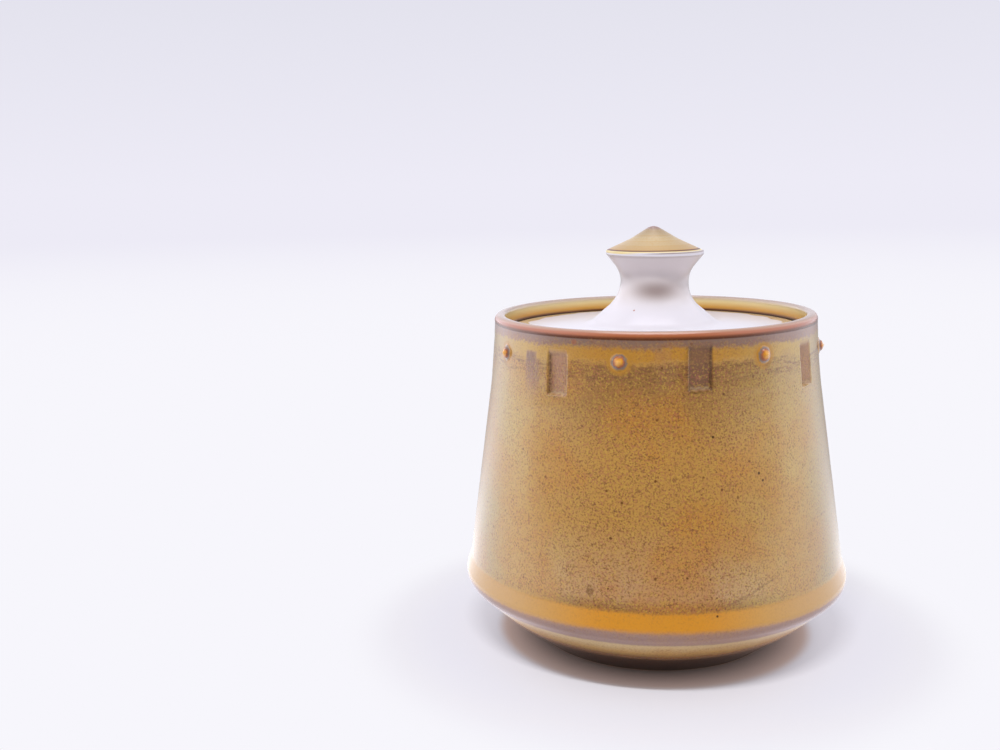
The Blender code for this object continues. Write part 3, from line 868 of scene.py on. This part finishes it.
class MESH_OT_throw_sugar_jar(bpy.types.Operator):
    """Throws the jar and presses the rectangles round its neck"""

    bl_idname = "mesh.throw_sugar_jar"
    bl_label = "Throw Jar"

    def press(self, bm, sizes):
        """Presses the marks into the neck and writes where the glaze pools, drags and breaks, and where
        shade and highlights are painted.
        """
        layers = {name: bm.verts.layers.float.new(name) for name in WALL_LAYERS}
        for vertex in bm.verts:
            radius = vertex.co.xy.length
            height = vertex.co.z
            nearest = FAR_AWAY
            if height >= NECK_FROM and radius >= NECK_OUTSIDE:
                bearing = bearing_of(vertex.co)
                for spot, level, *_ in PELLETS:
                    nearest = min(nearest, math.hypot(across(spot, bearing, radius), height - level + 0.15))
                inward = 0.0
                for mark in MARKS:
                    along = across(mark[0], bearing, radius)
                    up = height - mark[1]
                    if abs(along) > MARK_ASIDE or abs(up) > MARK_ABOVE:
                        continue
                    depth, written = pressed(sizes, mark, along, up)
                    inward += depth
                    for name, value in written.items():
                        vertex[layers[name]] = max(vertex[layers[name]], value)
                vertex.co.x *= (radius - inward) / radius
                vertex.co.y *= (radius - inward) / radius
            vertex[layers["pellet_reach"]] = nearest

    def shape_by_hand(self, bm, sizes):
        """Lets the rim dip a little in front and gives the walls the faint rings that fingers leave."""
        for vertex in bm.verts:
            point = vertex.co
            if point.z > 91.5 and point.y < 0:
                point.z -= 0.3 * soft(91.5, 93.8, point.z) * soft(0.0, 40.0, -point.y)
            radius = point.xy.length
            if not 18 < point.z < 91.8 or radius < 30:
                continue
            if radius > wall_radius(sizes, point.z) - 1.5:
                wanted = wall_radius(sizes, point.z) if point.z > 29 else radius
                place = Vector((point.x * 0.04, point.y * 0.04, point.z * 0.35))
                wanted += 0.05 * noise.noise(place) - 0.05
            else:
                ring = 0.14 * math.sin(point.z * 1.35 + math.atan2(point.y, point.x))
                wanted = radius + ring * soft(18, 26, point.z) * (1 - soft(64, 74, point.z))
            point.x *= wanted / radius
            point.y *= wanted / radius

    def share_out(self, bm, sizes):
        """Gives the inside its liner glaze and leaves the standing ring bare."""
        foot = sizes.foot_radius / MM
        for face in bm.faces:
            middle = face.calc_center_median()
            radius = middle.xy.length
            if foot - 5.2 < radius < foot + 0.2 and middle.z < 0.35:
                face.material_index = 2
            elif middle.z > 6.0 and (radius < 42.2 or radius < wall_radius(sizes, min(middle.z, 80)) - 2.5):
                inside = middle.z < 85.7 and not (middle.z < 14 and radius > 44.2 + (middle.z - 11) * 1.5)
                face.material_index = 1 if inside else 0

    def execute(self, context):
        sizes = context.scene.sugar_jar_sizes
        glazes = context.scene.sugar_jar_glazes
        bm = turned(jar_corners(sizes), JAR_COLUMNS)

        def outer(point):
            return 24.0 < point.z < 92.5 and point.xy.length > wall_radius(sizes, point.z) - 1.5

        def inner(point):
            return 18.0 < point.z < 77.0 and 30.0 < point.xy.length < wall_radius(sizes, point.z) - 2

        for rows, wanted in ((WALL_ROWS, outer), (NECK_ROWS, outer), (INNER_ROWS, inner)):
            cut_rows(bm, *rows, wanted)
        bmesh.ops.subdivide_edges(bm, edges=edges_where(bm, near_a_mark), cuts=2, use_grid_fill=True)
        self.shape_by_hand(bm, sizes)
        self.press(bm, sizes)
        self.share_out(bm, sizes)
        materials = [
            speckled_glaze("mustard_speckled_glaze", glazes),
            liner_glaze("straw_liner_glaze", glazes),
            bare_clay("bare_fired_clay", glazes),
        ]
        finish_piece(bm, "glazed_jar", materials, "jar", "jar_body")
        return {"FINISHED"}


class MESH_OT_place_clay_pellets(bpy.types.Operator):
    """Sticks the pointed pellets of clay round the neck"""

    bl_idname = "mesh.place_clay_pellets"
    bl_label = "Place Clay Pellets"

    def execute(self, context):
        sizes = context.scene.sugar_jar_sizes
        glaze = speckled_glaze("orange_pellet_glaze", context.scene.sugar_jar_glazes)
        wide = sizes.pellet_radius / MM
        rise = sizes.pellet_rise / MM
        outline = [
            (0.0, rise, 0),
            (0.22, rise * 0.95, 0.25),
            (wide * 0.52, rise * 0.60, 0.45),
            (wide * 0.66, rise * 0.24, 0.35),
            (wide, 0.02, 0.3),
            (wide + 0.1, -0.4, 0),
            (0.2, -0.4, 0),
            (0.0, -0.4, 0),
        ]
        for number, (spot, level, broad, stout, lean_out, lean_up) in enumerate(PELLETS, start=1):
            bm = turned(outline, PELLET_COLUMNS)
            bmesh.ops.subdivide_edges(bm, edges=bm.edges[:], cuts=1, use_grid_fill=True)
            reach = bm.verts.layers.float.new("pellet_reach")
            for vertex in bm.verts:
                x, y, z = vertex.co
                vertex[reach] = vertex.co.xy.length
                lifted = max(z, 0.0) / rise
                along = x * broad + lean_out * lifted
                height = level + y * (2 - broad) + lean_up * lifted
                dent = 1 + 0.05 * noise.noise(Vector((x, y, number * 3.7)))
                slope = wall_radius(sizes, height - 0.5) - wall_radius(sizes, height + 0.5)
                out = wall_radius(sizes, height) + z * (stout if z > 0 else 1) * dent - PELLET_SINK
                bearing = math.radians(spot) + along / wall_radius(sizes, level)
                vertex.co = (out * math.sin(bearing), -out * math.cos(bearing), height + z * slope)
            bmesh.ops.recalc_face_normals(bm, faces=bm.faces[:])
            name = f"glazed_pellet_{number}"
            finish_piece(bm, name, [glaze], "jar", f"clay_pellet_{number}")
        return {"FINISHED"}


def waist_height():
    """The height of the knob's waist, up from its joint with the lid at the end of the sweep."""
    return KNOB_BOX[0].z / MM + SWEEP_RADIUS * math.sin(math.radians(SWEEP_DEG))


class MESH_OT_turn_jar_lid(bpy.types.Operator):
    """Turns the lid that lies sunk in the rim"""

    bl_idname = "mesh.turn_jar_lid"
    bl_label = "Turn Lid"

    def execute(self, context):
        sizes = context.scene.sugar_jar_sizes
        edge = sizes.lid_radius / MM
        low = LID_BOX[0].z / MM
        slope = low + LID_SLOPE_FOOT
        joint = KNOB_BOX[0].z / MM
        sweep = math.radians(SWEEP_DEG)
        joint_radius = sizes.waist_radius / MM + SWEEP_RADIUS * (1 - math.cos(sweep))
        outline = [
            (0.0, joint, 0),
            (HUB, joint, 0),
            (joint_radius, joint, 0),
            (joint_radius + (joint - slope) * math.tan(sweep), slope, 6.0),
            (edge, low + LID_EDGE_TOP, 0.9),
            (edge, low, 0.4),
            (edge - 4.5, low, 0.3),
            (edge - 7.5, low + 0.8, 1.5),
            (HUB, slope - LID_THICK, 0),
            (0.0, slope - LID_THICK, 0),
        ]
        bm = turned(outline, LID_COLUMNS)
        glaze = white_glaze("white_lid_glaze", context.scene.sugar_jar_glazes)
        finish_piece(bm, "glazed_lid", [glaze], "lid", "lid", LID_SHARP_ANGLE)
        return {"FINISHED"}


class MESH_OT_turn_jar_knob(bpy.types.Operator):
    """Turns the knob, a waisted stem under a low cone"""

    bl_idname = "mesh.turn_jar_knob"
    bl_label = "Turn Knob"

    def execute(self, context):
        sizes = context.scene.sugar_jar_sizes
        glazes = context.scene.sugar_jar_glazes
        top = KNOB_BOX[1].z / MM
        cap = sizes.knob_radius / MM
        waist = sizes.waist_radius / MM
        edge_top = top - CONE_RISE
        edge_low = edge_top - CONE_EDGE
        neck = arc((waist + NECK_SWEEP_RADIUS, waist_height()), NECK_SWEEP_RADIUS, 142, 180)
        sweep = arc((waist + SWEEP_RADIUS, waist_height()), SWEEP_RADIUS, 180, 180 + SWEEP_DEG)
        joint_radius, joint, _ = sweep[-1]
        outline = [
            (0.0, top, 0),
            (0.5, top - 0.05, 0.5),
            (1.4, top - 0.32, 1.6),
            (cap - 7.1, edge_top + 3.2, 12.0),
            (cap, edge_top, 0.3),
            (cap, edge_low, 0.3),
            *neck,
            *sweep[1:],
            (joint_radius - 0.6, joint - KNOB_SEAT, 0),
            (HUB, joint - KNOB_SEAT, 0),
            (0.0, joint - KNOB_SEAT, 0),
        ]
        bm = turned(outline, LID_COLUMNS)
        for face in bm.faces:
            face.material_index = int(face.calc_center_median().z > edge_low + 0.1)

        # The knob stands a little to one side and leans, as the hand set it.
        for vertex in bm.verts:
            height = vertex.co.z
            held = 1 - soft(edge_top, top, height)
            vertex.co.z -= 0.015 * (vertex.co.x + cap) * soft(waist_height(), edge_low, height) * held
            vertex.co.x += 0.35 * soft(joint, joint + 9, height) * held
        materials = [white_glaze("white_stem_glaze", glazes), straw_glaze("straw_cone_glaze", glazes)]
        finish_piece(bm, "glazed_knob", materials, "lid", "knob", LID_SHARP_ANGLE)
        return {"FINISHED"}


class SCENE_OT_set_jar_studio(bpy.types.Operator):
    """Sets the pale floor, the soft light and the camera"""

    bl_idname = "scene.set_jar_studio"
    bl_label = "Set Studio"

    def paper(self, studio):
        """Matt paper, lit near the jar, where the shadow lies, and glowing like the backdrop around. Near
        the jar it also glows in part, which paints light into the shadow, and its colour there is warmed as
        painted bounce light.
        """
        material = bpy.data.materials.new("matt_paper")
        material.use_nodes = True
        tree = material.node_tree
        tree.nodes.clear()
        place = add("TexCoord", tree=tree, out="Object")
        away = add("VectorMath", (place,), out="Value", operation="LENGTH")
        x = add("SeparateXYZ", (place,), out="X")
        y = add("SeparateXYZ", (place,), out="Y")
        side = add("Math", (x,), operation="ABSOLUTE")
        # Under the jar the paper's colour is warmed, as painted bounce light from the jar.
        cool = add("MapRange", (away, 0.036, 0.046), **SMOOTH)
        lit = add("BsdfDiffuse", {"Color": lay_over(studio.warm_floor, (studio.floor, cool))})
        # The glow is lavender in the soft shadow and warm right under the jar, painted light in the shadow.
        colour = lay_over(
            studio.floor,
            (studio.horizon, add("MapRange", (away, 0.4, 3.0), **SMOOTH)),
            (studio.shade, add("MapRange", (away, 0.09, 0.06), **SMOOTH)),
            (studio.warm_shade, add("MapRange", (away, 0.047, 0.043), **SMOOTH)),
        )

        # The glaze mirrors a brighter floor behind the jar and beside it, a little less on the right.
        aside = add("Math", (side, away), operation="DIVIDE")
        mirrored = add("MapRange", (y, -0.40, 0.05, 0.35, 2.5), **SMOOTH)
        for factor in (
            add("MapRange", (aside, 0.42, 0.88, 0.28, 0.97), **SMOOTH),
            add("MapRange", (x, -0.05, 0.05, 1.0, 0.82), **SMOOTH),
        ):
            mirrored = add("Math", (mirrored, factor), operation="MULTIPLY")
        glossy = add("LightPath", tree=tree, out="Is Glossy Ray")
        strength = add("Mix", {0: glossy, MIX_LOW: 1.0, MIX_HIGH: mirrored})
        glow = add("Emission", {"Color": colour, "Strength": strength})
        # Near the jar part of the paper glows, which paints light into the jar's shadow.
        near = add("MapRange", (away, 0.032, 0.051), **SMOOTH)
        share = add("MapRange", (side, 0.020, 0.055, 0.36, 0.60), **SMOOTH)
        near = add("Math", (near, share), operation="MULTIPLY")
        wide = add("MapRange", (away, 0.052, 0.095), **SMOOTH)
        fade = add("Math", (near, wide), operation="MAXIMUM")
        add("OutputMaterial", {"Surface": add("MixShader", (fade, lit, glow))})
        return material

    def lay_floor(self, studio):
        """A wide disc of paper just under the standing ring."""
        bm = bmesh.new()
        low = Matrix.Translation((0, 0, -PAPER_DROP))
        bmesh.ops.create_circle(bm, cap_ends=True, radius=PAPER_RADIUS, segments=PAPER_SEGMENTS, matrix=low)
        floor = from_mesh(bm, "paper_floor", [self.paper(studio)])

    def surround(self, studio):
        """A pale surround, brightest at both sides and dark behind the camera."""
        world = bpy.data.worlds.new("pale_surround")
        world.use_nodes = True
        bpy.context.scene.world = world
        tree = world.node_tree
        tree.nodes.clear()
        direction = add("TexCoord", tree=tree, out="Generated")
        x, y, z = (add("SeparateXYZ", (direction,), out=axis) for axis in "XYZ")
        backdrop = lay_over(studio.horizon, (studio.sky, add("MapRange", (z, 0.0, 0.15))))
        aside = add("Math", (x,), operation="ABSOLUTE")
        sides = add("MapRange", (aside, 0.36, 0.58, 1.0, 2.0), **SMOOTH)
        front = add("MapRange", (y, -0.95, 0.10, 0.1, 1.0), **SMOOTH)
        bright = add("Math", (sides, front), operation="MULTIPLY")
        even = add("Math", (bright, 0.8, 0.2), operation="MULTIPLY_ADD")
        even = add("Math", (even, studio.surround), operation="MULTIPLY")

        # The glaze mirrors a stronger surround, most of all on the left, and a soft patch overhead.
        overhead = (0.0, 0.17, 0.985)
        lean = add("VectorMath", (direction, overhead), out="Value", operation="DOT_PRODUCT")
        patch = add("MapRange", (lean, 0.93, 0.985, 0.0, 6.0), **SMOOTH)
        right = add("MapRange", (x, -0.3, 0.3, 1.5, 1.2), **SMOOTH)
        bright = add("Math", (bright, right, patch), operation="MULTIPLY_ADD")
        rays = ("Camera", "Glossy", "Transmission")
        seen, glossy, clear = (add("LightPath", tree=tree, out=f"Is {ray} Ray") for ray in rays)
        soft_light = add("Background", {"Color": (0.99, 0.985, 1.0, 1.0), "Strength": even})
        mirrored = add("Background", {"Color": backdrop, "Strength": bright})
        shown = add("Background", {"Color": backdrop, "Strength": 1.0})
        behind = add("Math", (seen, clear), operation="MAXIMUM")
        surface = add("MixShader", (glossy, soft_light, mirrored))
        surface = add("MixShader", (behind, surface, shown))
        add("OutputWorld", {"Surface": surface})

    def hang_lamp(self, studio):
        """A strip lamp above the front, which the glaze doesn't mirror."""
        lamp = bpy.data.lights.new("strip_lamp", "AREA")
        lamp.shape = "RECTANGLE"
        lamp.size = studio.lamp_width
        lamp.size_y = studio.lamp_depth
        lamp.energy = studio.lamp
        strip = placed("strip_lamp", lamp)
        strip.location = studio.lamp_place
        strip.visible_glossy = False
        strip.rotation_euler = (-Vector(studio.lamp_place)).to_track_quat("-Z", "Y").to_euler()

    def place_camera(self, context):
        """The viewpoint and lens fitted to the jar's ellipses."""
        ahead = Vector(CAMERA_AHEAD).normalized()
        up = Vector(CAMERA_UP).normalized()
        right = ahead.cross(up)
        lens = bpy.data.cameras.new("front_view")
        lens.sensor_width = SENSOR_MM
        lens.lens = LENS_MM
        lens.clip_start = CLIP_START
        camera = placed("front_view", lens)
        turn = Matrix((right, up, -ahead)).transposed()
        camera.matrix_world = Matrix.Translation(CAMERA_PLACE) @ turn.to_4x4()
        context.scene.camera = camera

    def execute(self, context):
        studio = context.scene.sugar_jar_studio
        self.lay_floor(studio)
        self.surround(studio)
        self.hang_lamp(studio)
        self.place_camera(context)
        context.scene.view_settings.view_transform = "Standard"
        return {"FINISHED"}


class VIEW3D_PT_sugar_jar(bpy.types.Panel):
    """Lists the steps of making the jar"""

    bl_idname = "VIEW3D_PT_sugar_jar"
    bl_label = "Stoneware Sugar Jar"
    bl_space_type = "VIEW_3D"
    bl_region_type = "UI"
    bl_category = "Sugar Jar"

    def draw(self, context):
        layout = self.layout
        for operator in OPERATORS:
            layout.operator(operator.bl_idname)
        for name in GROUPS:
            settings = getattr(context.scene, name)
            box = layout.box()
            for value in settings.__annotations__:
                box.prop(settings, value)


OPERATORS = (
    MESH_OT_throw_sugar_jar,
    MESH_OT_place_clay_pellets,
    MESH_OT_turn_jar_lid,
    MESH_OT_turn_jar_knob,
    SCENE_OT_set_jar_studio,
)
GROUPS = {
    "sugar_jar_sizes": SugarJarSizes,
    "sugar_jar_glazes": SugarJarGlazes,
    "sugar_jar_studio": SugarJarStudio,
}
CLASSES = (*GROUPS.values(), *OPERATORS, VIEW3D_PT_sugar_jar)


def register():
    for cls in CLASSES:
        bpy.utils.register_class(cls)
    for name, group in GROUPS.items():
        setattr(bpy.types.Scene, name, PointerProperty(type=group))


def unregister():
    for name in GROUPS:
        delattr(bpy.types.Scene, name)
    for cls in reversed(CLASSES):
        bpy.utils.unregister_class(cls)


def main():
    register()
    bpy.ops.mesh.throw_sugar_jar()
    bpy.ops.mesh.place_clay_pellets()
    bpy.ops.mesh.turn_jar_lid()
    bpy.ops.mesh.turn_jar_knob()
    bpy.ops.scene.set_jar_studio()


if __name__ == "__main__":
    main()
